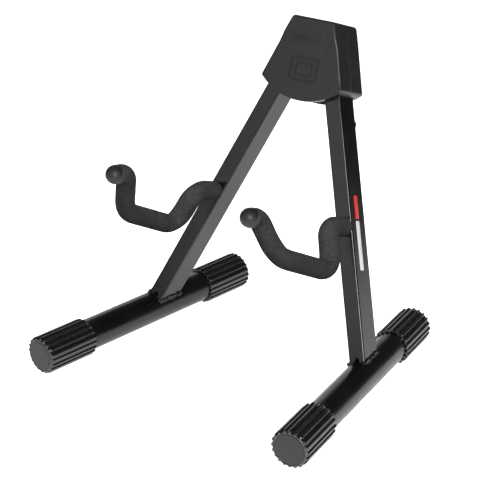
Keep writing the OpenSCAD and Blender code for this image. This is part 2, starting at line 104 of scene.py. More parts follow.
# ---------------------------- materials
class Nodes:
    """A small builder for procedural materials."""

    def __init__(self, name):
        self.mat = bpy.data.materials.new(name)
        self.mat.use_nodes = True
        self.tree = self.mat.node_tree
        self.tree.nodes.clear()
        self.out = self.add("ShaderNodeOutputMaterial")
        self.bsdf = self.add("ShaderNodeBsdfPrincipled")
        self.link(self.bsdf, "BSDF", self.out, "Surface")
        self.coord = self.add("ShaderNodeTexCoord")

    def add(self, kind, **values):
        node = self.tree.nodes.new(kind)
        for key, value in values.items():
            setattr(node, key, value)
        return node

    def link(self, a, out, b, inp):
        self.tree.links.new(a.outputs[out], b.inputs[inp])

    def put(self, socket, value):
        """Sets a socket to a number or a colour, or links it to an output."""
        if isinstance(value, (int, float)):
            socket.default_value = value
        elif isinstance(value, tuple):
            socket.default_value = (*value[:3], 1.0)
        elif value is not None:
            self.tree.links.new(value, socket)

    def mapped(self, frame_mm=None, scale=(1.0, 1.0, 1.0)):
        """Object coordinates in millimetres, in a local frame where one is given."""
        source, out = self.coord, "Object"
        if frame_mm is not None:
            mirrored = frame_mm.determinant() < 0
            inv = (FLIP @ frame_mm if mirrored else frame_mm).inverted()
            turn = self.add("ShaderNodeMapping", vector_type="POINT")
            turn.inputs["Scale"].default_value = (-1.0 if mirrored else 1.0, 1.0, 1.0)
            turn.inputs["Location"].default_value = inv.to_translation() * MM
            turn.inputs["Rotation"].default_value = inv.to_euler("XYZ")
            self.link(source, out, turn, "Vector")
            source, out = turn, "Vector"
        size = self.add("ShaderNodeVectorMath", operation="MULTIPLY")
        size.inputs[1].default_value = tuple(1000.0 * s for s in scale)
        self.link(source, out, size, 0)
        return size.outputs["Vector"]

    def noise(self, vec, size_mm, detail=3.0, rough=0.55):
        n = self.add("ShaderNodeTexNoise")
        n.inputs["Scale"].default_value = 1.0 / size_mm
        n.inputs["Detail"].default_value = detail
        n.inputs["Roughness"].default_value = rough
        self.put(n.inputs["Vector"], vec)
        return n.outputs["Fac"]

    def cells(self, vec, size_mm):
        n = self.add("ShaderNodeTexVoronoi", feature="F1")
        n.inputs["Scale"].default_value = 1.0 / size_mm
        n.inputs["Randomness"].default_value = 1.0
        self.put(n.inputs["Vector"], vec)
        return n.outputs["Distance"]

    def span(self, value, a0, a1, b0=0.0, b1=1.0, smooth=True):
        kind = "SMOOTHSTEP" if smooth else "LINEAR"
        n = self.add("ShaderNodeMapRange", interpolation_type=kind)
        n.clamp = True
        self.put(n.inputs["Value"], value)
        for key, v in (("From Min", a0), ("From Max", a1), ("To Min", b0), ("To Max", b1)):
            n.inputs[key].default_value = v
        return n.outputs["Result"]

    def math(self, op, a, b=None):
        n = self.add("ShaderNodeMath", operation=op)
        self.put(n.inputs[0], a)
        self.put(n.inputs[1], b)
        return n.outputs["Value"]

    def mix(self, fac, a, b):
        n = self.add("ShaderNodeMix", data_type="RGBA")
        # Sockets 0, 6 and 7 and output 2 are the ones for colours.
        for k, v in ((0, fac), (6, a), (7, b)):
            self.put(n.inputs[k], v)
        return n.outputs[2]

    def bump(self, height, strength, distance_mm, below=None):
        n = self.add("ShaderNodeBump")
        n.inputs["Strength"].default_value = strength
        n.inputs["Distance"].default_value = distance_mm * MM
        self.put(n.inputs["Height"], height)
        self.put(n.inputs["Normal"], below)
        return n.outputs["Normal"]

    def parts(self, vec):
        n = self.add("ShaderNodeSeparateXYZ")
        self.put(n.inputs[0], vec)
        return n.outputs

    def finish(self, color, rough, normal=None, **constants):
        for key, value in (("Base Color", color), ("Roughness", rough), ("Normal", normal)):
            self.put(self.bsdf.inputs[key], value)
        for key, value in constants.items():
            self.put(self.bsdf.inputs[key.replace("_", " ")], value)
        return self.mat


def grey(v, warm=0.0):
    """A grey of value v, a little warmer where asked."""
    return (v * (1 + warm), v, v * (1 - warm))


def moulded_plastic(name, base, grain_mm, rough, grain, specular=0.5):
    """Spark-textured black plastic with faint flow marks and rubbed high spots."""
    n = Nodes(name)
    v = n.mapped()
    flow = n.noise(v, 38.0, 4.0, 0.6)
    fine = n.noise(v, grain_mm, 2.0, 0.6)
    speck = n.cells(v, grain_mm * 1.3)
    rub = n.span(n.noise(v, 11.0, 5.0, 0.65), 0.55, 0.72)
    color = n.mix(n.span(flow, 0.3, 0.7), grey(base * 0.86), grey(base * 1.1))
    color = n.mix(n.math("MULTIPLY", rub, 0.3), color, grey(base * 1.6))
    r = n.math("ADD", n.span(flow, 0.3, 0.7, rough - 0.05, rough + 0.06),
               n.math("MULTIPLY", rub, -0.06))
    normal = n.bump(n.math("ADD", fine, n.math("MULTIPLY", speck, 0.7)), grain, 0.12)
    return n.finish(color, r, normal, Specular_IOR_Level=specular)


def foam_material(name, base):
    """Closed-cell foam sleeve: matte, mottled, fine open pores and a soft skin. The pits are also
    darker: painted shade in the pores.
    """
    n = Nodes(name)
    v = n.mapped()
    patch = n.noise(v, 17.0, 4.0, 0.6)
    mottle = n.noise(v, 3.1, 4.0, 0.7)
    cell = n.cells(v, 1.15)
    pore = n.cells(v, 0.62)
    pit_depth_and_shade = n.span(n.noise(v, 1.6, 2.0, 0.5), 0.56, 0.7)
    color = n.mix(n.span(patch, 0.32, 0.68), grey(base * 0.78), grey(base * 1.2))
    color = n.mix(n.math("MULTIPLY", n.span(mottle, 0.42, 0.68), 0.6), color, grey(base * 1.7))
    # Painted shade: the pits, which the bump sinks, are also darkened.
    color = n.mix(n.math("MULTIPLY", pit_depth_and_shade, 0.5), color, grey(base * 0.45))
    r = n.span(mottle, 0.3, 0.7, 0.8, 0.95)
    low = n.bump(mottle, 0.5, 0.9)
    mid = n.bump(n.math("SUBTRACT", cell, n.math("MULTIPLY", pit_depth_and_shade, 0.8)), 0.35, 0.3, low)
    normal = n.bump(pore, 0.25, 0.12, mid)
    return n.finish(color, r, normal, Specular_IOR_Level=0.08)


def rubber_material(name, base, rough, specular=0.5):
    """Glossy moulded rubber, smooth on the ribs, with a faint bloom and small scuffs."""
    n = Nodes(name)
    v = n.mapped()
    cloud = n.noise(v, 22.0, 4.0, 0.6)
    fine = n.noise(v, 0.5, 2.0, 0.5)
    dust = n.span(n.noise(v, 6.0, 5.0, 0.7), 0.56, 0.78)
    color = n.mix(n.span(cloud, 0.3, 0.7), grey(base * 0.9), grey(base * 1.1))
    color = n.mix(n.math("MULTIPLY", dust, 0.15), color, grey(base * 1.8, 0.02))
    r = n.math("ADD", n.span(cloud, 0.3, 0.7, rough - 0.03, rough + 0.03),
               n.math("MULTIPLY", dust, 0.07))
    normal = n.bump(fine, 0.05, 0.06)
    return n.finish(color, r, normal, Specular_IOR_Level=specular)


def paint_material(name, base, rough, coat, peel, frame_mm=None):
    """Baked enamel with orange peel and dust nibs. A leg's frame adds its rubbed corners."""
    n = Nodes(name)
    v = n.mapped(frame_mm)
    cloud = n.noise(v, 45.0, 4.0, 0.55)
    orange = n.noise(v, 4.2, 2.0, 0.4)
    nib = n.span(n.cells(v, 9.0), 0.0, 0.05, 1.0, 0.0)
    scuff = n.span(n.noise(n.mapped(frame_mm, (1.0, 1.0, 0.14)), 2.4, 5.0, 0.75), 0.6, 0.78)
    color = n.mix(n.span(cloud, 0.3, 0.7), grey(base * 0.88), grey(base * 1.12))
    color = n.mix(n.math("MULTIPLY", scuff, 0.18), color, grey(base * 2.4))
    r = n.math("ADD", n.span(cloud, 0.3, 0.7, rough - 0.03, rough + 0.04),
               n.math("MULTIPLY", scuff, 0.1))
    if frame_mm is not None:
        xyz = n.parts(v)
        near_x, near_y = (n.span(n.math("ABSOLUTE", xyz[k]), half - 1.1, half - 0.2)
                          for k, half in enumerate((LEG_W / 2, LEG_D / 2)))
        edge = n.math("MULTIPLY", near_x, near_y)
        worn = n.math("MULTIPLY", edge, n.span(n.noise(v, 7.0, 5.0, 0.7), 0.42, 0.66))
        color = n.mix(n.math("MULTIPLY", worn, 0.35), color, grey(base * 4.0))
    normal = n.bump(n.math("ADD", orange, n.math("MULTIPLY", nib, 0.12)), peel, 0.2)
    return n.finish(color, r, normal, Specular_IOR_Level=0.5,
                    Coat_Weight=coat, Coat_Roughness=0.06)


def metal_material(name, base, rough, tint=0.0):
    """Zinc-plated or ground steel with faint spangle and grease stains."""
    n = Nodes(name)
    v = n.mapped()
    spangle = n.noise(v, 1.2, 3.0, 0.6)
    stain = n.span(n.noise(v, 8.0, 5.0, 0.7), 0.5, 0.75)
    color = n.mix(n.span(spangle, 0.35, 0.65), grey(base * 0.88, tint), grey(base, tint))
    color = n.mix(n.math("MULTIPLY", stain, 0.35), color, grey(base * 0.5, tint + 0.06))
    r = n.math("ADD", n.span(spangle, 0.3, 0.7, rough - 0.06, rough + 0.08),
               n.math("MULTIPLY", stain, 0.15))
    normal = n.bump(spangle, 0.15, 0.1)
    return n.finish(color, r, normal, Metallic=1.0)


def printed(name, ink):
    """Screen-printed ink, slightly thin in places."""
    n = Nodes(name)
    v = n.mapped()
    thin = n.span(n.noise(v, 1.4, 4.0, 0.7), 0.5, 0.72)
    color = n.mix(n.math("MULTIPLY", thin, 0.35), ink, tuple(c * 0.5 for c in ink))
    return n.finish(color, n.span(thin, 0.0, 1.0, 0.4, 0.5),
                    n.bump(n.noise(v, 0.5), 0.15, 0.05))


MAT = {
    "cover": moulded_plastic("cover_plastic", 0.0182, 0.5, 0.33, 0.16, 0.42),
    # A darker copy of the cover plastic for the frames' side walls: painted shade.
    "frame_wall_painted_shade": moulded_plastic("frame_wall_painted_shade_plastic", 0.006, 0.5, 0.4, 0.16, 0.3),
    "foam": foam_material("yoke_foam", 0.040),
    "rubber": rubber_material("cap_rubber", 0.006, 0.2, 1.0),
    "cap_face": rubber_material("cap_face_rubber", 0.011, 0.27),
    "end_cap": moulded_plastic("cap_plastic", 0.0115, 0.6, 0.47, 0.2),
    "button": moulded_plastic("button_plastic", 0.012, 0.5, 0.3, 0.15),
    "foot": paint_material("foot_paint", 0.003, 0.28, 0.1, 0.015),
    "weld": paint_material("weld_paint", 0.003, 0.3, 0.0, 0.3),
    "plate": metal_material("plate_steel", 0.52, 0.38),
    "pin": metal_material("pin_steel", 0.6, 0.26),
    "rod": metal_material("rod_steel", 0.5, 0.34),
    "spring": metal_material("spring_steel", 0.62, 0.24),
    "screw": metal_material("screw_steel", 0.3, 0.36, tint=0.03),
    "bush": moulded_plastic("bush_plastic", 0.62, 0.7, 0.45, 0.12),
    "mark_red": printed("mark_red", (0.8, 0.02, 0.02)),
    "mark_pale": printed("mark_pale", (0.9, 0.9, 0.89)),
}
LEG_MAT = {side: paint_material("leg_paint_" + side, 0.004, 0.2, 0.1, 0.02, flip @ LEG)
           for side, flip in SIDES}


# ---------------------------- mesh helpers
def finish_mesh(bm, name, frame_mm, body, mats, nodes=(), sharp=32.0):
    """Millimetre geometry in a local frame becomes an object in metres, riding on a body."""
    bm.transform(TO_M @ frame_mm)
    if frame_mm.determinant() < 0:
        bmesh.ops.reverse_faces(bm, faces=bm.faces)
    mesh = bpy.data.meshes.new(name)
    bm.to_mesh(mesh)
    bm.free()
    for p in mesh.polygons:
        p.use_smooth = True
    if sharp:
        mesh.set_sharp_from_angle(angle=math.radians(sharp))
    obj = bpy.data.objects.new(name, mesh)
    bpy.context.scene.collection.objects.link(obj)
    for m in mats:
        mesh.materials.append(m)
    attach(obj, body)
    if nodes:
        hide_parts(*nodes)
    return obj


def outward(bm):
    """Turns the faces of closed geometry outwards."""
    bmesh.ops.recalc_face_normals(bm, faces=bm.faces)


def skin(bm, loops, closed=True):
    """Faces between successive loops of points; the two ends may be closed by flat faces."""
    rings = [[bm.verts.new(p) for p in loop] for loop in loops]
    n = len(rings[0])
    for a, b in zip(rings, rings[1:]):
        for k in range(n):
            j = (k + 1) % n
            bm.faces.new((a[k], a[j], b[j], b[k]))
    if closed:
        bm.faces.new(list(reversed(rings[0])))
        bm.faces.new(rings[-1])
    return rings


def lathe(bm, profile, frame_mm=Matrix.Identity(4), segments=72):
    """Turns (radius, height) points about Z. A radius of 0 makes a pole."""
    rings = []
    for r, h in profile:
        if r < 1e-6:
            rings.append([bm.verts.new(frame_mm @ Vector((0, 0, h)))])
            continue
        ring = []
        for k in range(segments):
            a = 2 * math.pi * k / segments
            ring.append(bm.verts.new(frame_mm @ Vector((r * math.cos(a), r * math.sin(a), h))))
        rings.append(ring)
    for a, b in zip(rings, rings[1:]):
        for k in range(segments):
            j = (k + 1) % segments
            if len(a) == 1 and len(b) == 1:
                continue
            if len(a) == 1:
                bm.faces.new((a[0], b[j], b[k]))
            elif len(b) == 1:
                bm.faces.new((a[k], a[j], b[0]))
            else:
                bm.faces.new((a[k], a[j], b[j], b[k]))
    outward(bm)


def arc(cx, cz, r, a0, a1, n):
    """Points (x, z) on an arc, angles in degrees, both ends included."""
    return [(cx + r * math.cos(math.radians(a0 + (a1 - a0) * k / n)),
             cz + r * math.sin(math.radians(a0 + (a1 - a0) * k / n))) for k in range(n + 1)]


def mirrored(points):
    """The same (x, z) points on the other side, in reverse order."""
    return [(-x, z) for x, z in reversed(points)]


def boolean(obj, other, operation):
    """Applies an exact boolean and removes the other object."""
    mod = obj.modifiers.new("cut", "BOOLEAN")
    mod.operation = operation
    mod.solver = "EXACT"
    mod.object = other
    deps = bpy.context.evaluated_depsgraph_get()
    mesh = bpy.data.meshes.new_from_object(obj.evaluated_get(deps))
    obj.modifiers.clear()
    old = obj.data
    obj.data = mesh
    bpy.data.meshes.remove(old)
    bpy.data.objects.remove(other)


def plain_object(bm, name):
    """A working object, or one that needs no body and no slot."""
    mesh = bpy.data.meshes.new(name)
    outward(bm)
    bm.to_mesh(mesh)
    bm.free()
    obj = bpy.data.objects.new(name, mesh)
    bpy.context.scene.collection.objects.link(obj)
    return obj


def take_mesh(obj):
    """The geometry of a working object, which is removed."""
    bm = bmesh.new()
    bm.from_mesh(obj.data)
    bpy.data.objects.remove(obj)
    return bm


# ---------------------------- hinge block covers
CORNER_STEPS, SIDE_STEPS, ARCH_STEPS = 6, 8, 48
FACE_MIDDLE, BROW_Z, BROW_STEP = 338.0, 354.0, 14.0
EDGE_R, ARCH_EDGE_R = 3.0, 0.9
LIP_TOP, LIP_GAP = 313.5, 0.8
POST_R, PILOT_R, PILOT_END, SHANK_HOLE_R = 3.6, 1.65, 16.0, 1.9
SINK_R, SINK_RIM_R = 3.5, 4.3


def outline(d):
    """Outline of the block moved inwards by d, as (x, z) points. Their count is always the same."""
    top_r, low_r, kink_r = 5.0, 3.4, 14.0
    slope_s = math.atan2(LOW_W - KINK_W, BLOCK_KINK - BLOCK_LOW)
    slope_t = math.atan2(KINK_W - TOP_W, BLOCK_TOP - BLOCK_KINK)
    n_side = (math.cos(slope_s), math.sin(slope_s))
    n_cham = (math.cos(slope_t), math.sin(slope_t))

    def meet(n1, p1, n2, p2, r):
        """Centre of the circle that touches two lines, each given by a normal and a point."""
        c1 = n1[0] * p1[0] + n1[1] * p1[1] - r
        c2 = n2[0] * p2[0] + n2[1] * p2[1] - r
        det = n1[0] * n2[1] - n1[1] * n2[0]
        return ((c1 * n2[1] - c2 * n1[1]) / det, (n1[0] * c2 - n2[0] * c1) / det)

    def corner(centre, r, a0, a1, steps):
        return arc(centre[0], centre[1], r - d, a0, a1, steps)

    side_a, cham_a = math.degrees(slope_s), math.degrees(slope_t)
    top_c = meet((0, 1), (0, BLOCK_TOP), n_cham, (KINK_W, BLOCK_KINK), top_r)
    kink_c = meet(n_cham, (KINK_W, BLOCK_KINK), n_side, (KINK_W, BLOCK_KINK), kink_r)
    # The lower corner touches the side line and the arch from inside.
    line = n_side[0] * LOW_W + n_side[1] * BLOCK_LOW - low_r
    radius = ARCH_R - low_r
    off = line - n_side[1] * ARCH_Z
    down = -math.sqrt(radius * radius - off * off)
    low_c = (n_side[0] * off - n_side[1] * down, ARCH_Z + n_side[1] * off + n_side[0] * down)
    low_a = math.degrees(math.atan2(low_c[1] - ARCH_Z, low_c[0]))
    right = corner(low_c, low_r, low_a, side_a, CORNER_STEPS)
    for k in range(1, SIDE_STEPS):
        t = k / SIDE_STEPS
        x, z = LOW_W + (KINK_W - LOW_W) * t, BLOCK_LOW + (BLOCK_KINK - BLOCK_LOW) * t
        right.append((x - n_side[0] * d, z - n_side[1] * d))
    right += corner(kink_c, kink_r, side_a, cham_a, 4)
    right += corner(top_c, top_r, cham_a, 90.0, 8)
    bottom = arc(0, ARCH_Z, ARCH_R - d, -180 - low_a, low_a, ARCH_STEPS)[1:-1]
    return right + mirrored(right) + bottom


def smooth(t):
    """Soft step from 0 to 1."""
    t = min(1.0, max(0.0, t))
    return t * t * (3 - 2 * t)


def in_slab(points, n, brow=0.0):
    """Outline points at a distance n ahead of the legs' middle, in the block frame.
    The upper part stands out by a further brow, with a soft step."""
    return [(x, -n - brow * smooth((z - BROW_Z) / BROW_STEP), z) for x, z in points]


def shell(name, face, sign, brow_h):
    """The solid half of the block, with a rounded face and a small bevel at the joint."""
    depth = abs(face - BLOCK_JOINT)
    arch_points = ARCH_STEPS - 1
    side_points = (len(outline(0.0)) - arch_points) // 2
    weights = [1 - k / CORNER_STEPS for k in range(CORNER_STEPS + 1)]
    weights += [0.0] * (side_points - len(weights))
    weights += weights[::-1] + [1.0] * arch_points

    def rounded(angle):
        """Points and depths of the rounded edge of the face, which is tighter along the arch."""
        turn = math.radians(angle)
        inwards = 1 - math.cos(turn)
        wide, tight = outline(EDGE_R * inwards), outline(ARCH_EDGE_R * inwards)
        points = [(a[0] + (b[0] - a[0]) * w, a[1] + (b[1] - a[1]) * w)
                  for a, b, w in zip(wide, tight, weights)]
        depths = [depth - (EDGE_R + (ARCH_EDGE_R - EDGE_R) * w) * (1 - math.sin(turn))
                  for w in weights]
        return points, depths

    def at_depth(points, h):
        return in_slab(points, BLOCK_JOINT + sign * h, brow_h * h / depth)

    bevel = [(0.45, 0.0), (0.12, 0.15), (0.0, 0.5)]
    side = [(0.0, 0.5 + (depth - EDGE_R - 0.5) * k / 7) for k in range(1, 7)]
    loops = [at_depth(outline(d), h) for d, h in bevel + side]
    for angle in range(0, 91, 9):
        loops.append([at_depth([p], h)[0] for p, h in zip(*rounded(angle))])
    rim = rounded(90)[0]
    to_middle = (0.02, 0.06, 0.11, 0.17, 0.23, 0.29, 0.35, 0.41,
                 0.47, 0.53, 0.59, 0.65, 0.71, 0.78, 0.86, 0.94)
    for t in to_middle:
        ring = [(x - x * t, z + (FACE_MIDDLE - z) * t) for x, z in rim]
        loops.append(in_slab(ring, face, brow_h))
    bm = bmesh.new()
    grid = skin(bm, loops)
    # Points that crowd together near the middle of the face are joined.
    crowded = [v for ring in grid[-len(to_middle) + 1:] for v in ring]
    bmesh.ops.remove_doubles(bm, verts=crowded, dist=0.9)
    return plain_object(bm, name)


def cut_slab(obj, ring, n0, n1, name):
    """Cuts the prism between two distances ahead of the legs' middle out of an object."""
    bm = bmesh.new()
    skin(bm, [in_slab(ring, n0), in_slab(ring, n1)])
    boolean(obj, plain_object(bm, name), "DIFFERENCE")


def hollow_out(obj, face, sign):
    """The slot for the legs, and behind it the room for the hinge plate."""
    def lip_x(z):
        return SPREAD - z * math.tan(SPLAY) + LEG_W / 2 / math.cos(SPLAY) + LIP_GAP

    # The slot runs down past the arch. A lip is left below it, beside the opened leg.
    below = BLOCK_ARCH - 10
    wall_at_lip = LOW_W - WALL - SIDE_SLOPE * (LIP_TOP - BLOCK_LOW)
    upper = [(KINK_W - WALL, BLOCK_KINK), (TOP_W - WALL, BLOCK_TOP - WALL)]
    right = [(lip_x(below), below), (lip_x(LIP_TOP), LIP_TOP), (wall_at_lip, LIP_TOP)] + upper
    cut_slab(obj, right + mirrored(right), BLOCK_JOINT - sign * 1.0, sign * SLOT, "hollow")
    # The room is closed at the bottom by a floor that follows the arch.
    inner_r = ARCH_R - WALL
    wall_c = LOW_W - WALL + SIDE_SLOPE * (BLOCK_LOW - ARCH_Z)
    bow = 1 + SIDE_SLOPE * SIDE_SLOPE
    low_z = ARCH_Z - (math.sqrt(bow * inner_r * inner_r - wall_c * wall_c)
                      - SIDE_SLOPE * wall_c) / bow
    low_a = math.degrees(math.atan2(low_z - ARCH_Z, wall_c + SIDE_SLOPE * (ARCH_Z - low_z)))
    ring = arc(0, ARCH_Z, inner_r, -180 - low_a, low_a, 40) + upper + mirrored(upper)
    cut_slab(obj, ring, sign * (SLOT - 0.05), face - sign * WALL, "plate_room")


def screw_posts(obj, face, sign):
    """Posts for the screws, with blind holes in the front cover and sunk seats in the rear."""
    joint, rear = BLOCK_JOINT, -BLOCK_REAR
    blind = [(0, joint - 1), (PILOT_R, joint - 1), (PILOT_R, PILOT_END), (0, PILOT_END)]
    sunk = [(0, rear - 1), (SINK_RIM_R, rear - 1), (SINK_RIM_R, rear - 0.01),
            (SINK_R, rear + 0.5), (SINK_R, SCREW_SEAT), (SHANK_HOLE_R, SCREW_SEAT),
            (SHANK_HOLE_R, joint + 1), (0, joint + 1)]
    low, high = sorted((joint, face - sign * (WALL - 1.0)))
    for x, z in SCREWS:
        place = move(x, 0, z) @ rot("X", math.pi / 2)
        bm = bmesh.new()
        lathe(bm, [(0, low), (POST_R, low), (POST_R, high), (0, high)], place, 40)
        boolean(obj, plain_object(bm, "post"), "UNION")
        bm = bmesh.new()
        if sign > 0:
            lathe(bm, blind, place, 32)
        else:
            lathe(bm, sunk, place, 40)
        boolean(obj, plain_object(bm, "hole"), "DIFFERENCE")


def cover(name, face, node, brow_h=0.0):
    """One half of the block, hollow inside."""
    sign = 1 if face > BLOCK_JOINT else -1
    obj = shell(name, face, sign, brow_h)
    hollow_out(obj, face, sign)
    screw_posts(obj, face, sign)
    finish_mesh(take_mesh(obj), name, BLOCK, "hinge_block",
                [MAT["cover"]], [node], 28.0)


def rounded_rect(w, h, r, steps=6):
    """Outline (x, z) of a rectangle with rounded corners, about its middle."""
    dx, dz = w / 2 - r, h / 2 - r
    ring = []
    for cx, cz, a0 in ((dx, dz, 0), (-dx, dz, 90), (-dx, -dz, 180), (dx, -dz, 270)):
        ring += arc(cx, cz, r, a0, a0 + 90, steps)
    return ring


def raised_frames():
    """Two plain frames moulded on the front cover, one inside the other. Their side walls take a
    darker plastic: painted shade that outlines them.
    """
    middle, corner_r = 326.5, 3.0
    section = [(-0.02, -0.4), (0.02, 0.5), (0.3, 0.9), (1.7, 0.9), (1.98, 0.5), (2.02, -0.4)]
    for k, (w, h) in enumerate(((38.0, 28.0), (23.0, 16.0))):
        loops = []
        for inset, rise in section:
            ring = rounded_rect(w - 2 * inset, h - 2 * inset, corner_r - inset * 0.6)
            loops.append([(x, -BLOCK_FRONT - rise, z + middle) for x, z in ring])
        bm = bmesh.new()
        skin(bm, loops + [loops[0]], closed=False)
        bmesh.ops.remove_doubles(bm, verts=bm.verts, dist=1e-5)
        outward(bm)
        bm.normal_update()
        for face in bm.faces:
            # Side walls get the darker plastic, painted shade along the frames; the tops keep the
            # cover plastic.
            face.material_index = 0 if face.normal.y < -0.9 else 1
        finish_mesh(bm, "front_frame_%d" % (k + 1), BLOCK, "hinge_block",
                    [MAT["cover"], MAT["frame_wall_painted_shade"]])


def cover_screws():
    """Pan heads with a cross recess, sunk in the rear cover."""
    seat = SCREW_SEAT
    profile = [(0, seat - 2.1), (1.4, seat - 2.05), (2.4, seat - 1.8), (3.0, seat - 1.2),
               (3.2, seat - 0.5), (3.15, seat), (1.6, seat), (1.6, 14.0), (1.1, 15.6), (0, 16.0)]
    recess = move(0, 0, seat - 2.0) @ Matrix.Diagonal((3.6, 0.62, 1.5, 1))
    for k, (x, z) in enumerate(SCREWS):
        frame_mm = move(x, 0, z) @ rot("X", math.pi / 2) @ rot("Z", 0.4 + 0.7 * k)
        bm = bmesh.new()
        lathe(bm, profile, frame_mm, 40)
        obj = plain_object(bm, "screw")
        for turn in (0.0, math.pi / 2):
            bm = bmesh.new()
            bmesh.ops.create_cube(bm, size=1.0)
            bm.transform(frame_mm @ rot("Z", turn) @ recess)
            boolean(obj, plain_object(bm, "recess"), "DIFFERENCE")
        finish_mesh(take_mesh(obj), "cover_screw_%d" % (k + 1), BLOCK, "hinge_block",
                    [MAT["screw"]], ["cover_screws"])


# ---------------------------- foot tubes and ribbed caps
def foot_tube(side, flip):
    """Round tube with rolled ends inside the caps."""
    gap_end = 5.0
    r, y0, y1 = FOOT_R, -REACH_FRONT + gap_end, REACH_REAR - gap_end
    profile = [(r - TUBE_WALL, -y1), (r - 0.5, -y1), (r, -y1 + 0.5)]
    profile += [(r, -y1 + 0.5 + (y1 - y0 - 1.0) * k / 24) for k in range(1, 25)]
    profile += [(r - 0.5, -y0), (r - TUBE_WALL, -y0), (r - TUBE_WALL, -y1)]
    bm = bmesh.new()
    lathe(bm, profile, rot("X", math.pi / 2), 128)
    bmesh.ops.remove_doubles(bm, verts=bm.verts, dist=1e-5)
    outward(bm)
    finish_mesh(bm, side + "_foot_tube_paint", flip @ FOOT, side + "_leg",
                [MAT["foot"]], [side + "_foot_tube"])


RIBS = 20
RIB_H = 2.2
CAP_DISC_R = 19.0
# Half a rib's section: distance from its middle and share of its height.
RIB_HALF = ((0.0, 1.0), (0.5, 1.0), (0.85, 0.985), (1.1, 0.93), (1.3, 0.82), (1.5, 0.6),
            (1.72, 0.34), (1.92, 0.15), (2.15, 0.05), (2.5, 0.01), (3.0, 0.0))


def rib_ring():
    """Angles round the cap, with how far each stands on a rib: 1 on its top, 0 in a groove."""
    pitch = 2 * math.pi / RIBS
    ring = []
    for k in range(RIBS):
        middle = -math.pi / 2 + k * pitch
        ring.append((middle - pitch / 2, 0.0))
        ring += [(middle - x / CAP_R, w) for x, w in reversed(RIB_HALF[1:])]
        ring += [(middle + x / CAP_R, w) for x, w in RIB_HALF]
    return ring


def ease(s, length):
    """Quarter-ellipse growth from 0 to 1 over a length."""
    t = min(1.0, max(0.0, s / length))
    return math.sqrt(1 - (1 - t) ** 2)


def foot_cap(name, side, flip, local, node):
    """Ribbed rubber cap. Its closed end is at s = 0 and its mouth at s = CAP_LEN."""
    core, disc, bore = CAP_R - RIB_H, CAP_DISC_R, FOOT_R + 0.05
    ribs = rib_ring()
    seed = sum(ord(c) for c in name) * 0.37

    def loop(radius_at, s):
        ring = []
        for angle, w in ribs:
            r = radius_at(w)
            ring.append((r * math.cos(angle), s, r * math.sin(angle)))
        return ring

    def outer(s):
        mouth = CAP_LEN - s
        rib = disc + (CAP_R - disc) * ease(s, 2.8)
        low = disc + (core - disc) * ease(s, 1.7)
        rib = min(rib, core + 0.5 + (CAP_R - core - 0.5) * ease(mouth, 0.8))
        low = min(low, core - 0.3 + 0.3 * ease(mouth, 0.4))
        ring = []
        for angle, w in ribs:
            r = low + (max(rib, low) - low) * w
            x, z = math.cos(angle), math.sin(angle)
            fade = min(1.0, s / 4)
            r -= 0.05 * fade * (0.5 + 0.5 * noise3((x * r, s * 0.4, z * r), 24.0, seed))
            ring.append((r * x, s, r * z))
        return ring

    stations = [0.0, 0.1, 0.3, 0.6, 1.0, 1.5, 2.1, 2.8, 3.8, 5.0]
    stations += [5.0 + 61.5 * k / 15 for k in range(1, 16)]
    stations += [CAP_LEN - d for d in (2.0, 1.0, 0.7, 0.45, 0.25, 0.1, 0.0)]
    # A shallow ring groove runs round the end face.
    end_face = ((4.0, 0.0), (12.0, 0.01), (16.4, 0.05), (17.2, 0.14), (17.7, 0.32),
                (18.0, 0.5), (18.25, 0.5), (18.5, 0.3), (18.7, 0.1), (18.9, 0.02))
    loops = [loop(lambda w, r=r: r, s) for r, s in end_face] + [outer(s) for s in stations]
    # The mouth is scalloped inside as well: a pocket under each rib.
    pocket = 1.5
    for extra, s in ((0.25, CAP_LEN), (0.0, 69.7), (0.0, 67.0), (-0.6, 64.0), (-1.45, 61.0)):
        loops.append(loop(lambda w, e=extra: bore + max(0.0, pocket + e) * w + max(0.0, e), s))
    loops += [loop(lambda w: bore, 60.5), loop(lambda w: bore, 4.5)]
    bm = bmesh.new()
    skin(bm, loops)
    outward(bm)
    for face in bm.faces:
        if all(v.co.y < 0.7 and math.hypot(v.co.x, v.co.z) < disc + 0.7 for v in face.verts):
            face.material_index = 1
    finish_mesh(bm, name, flip @ FOOT @ local, side + "_leg",
                [MAT["rubber"], MAT["cap_face"]], [node], 42.0)


# ---------------------------- welds
BEAD_R, BEAD_LIFT, BEAD_TAPER, BEAD_PITCH = 2.4, 0.35, 2.6, 3.1


def on_foot(x, y):
    """Height along the leg at which the point (x, y) of its section meets the foot tube."""
    rise = math.sqrt(max(0.0, FOOT_R * FOOT_R - x * x))
    return (rise + y * math.sin(PITCH)) / math.cos(PITCH)


def resample(points, step):
    """Evenly spaced (point, distance) pairs along a line of points, and the line's length."""
    length = [0.0]
    for a, b in zip(points, points[1:]):
        length.append(length[-1] + (b - a).length)
    total = length[-1]
    count = int(total / step)
    samples = []
    j = 0
    for k in range(count + 1):
        d = total * k / count
        while j < len(points) - 2 and length[j + 1] < d:
            j += 1
        t = (d - length[j]) / max(1e-6, length[j + 1] - length[j])
        samples.append((points[j].lerp(points[j + 1], t), d))
    return samples, total


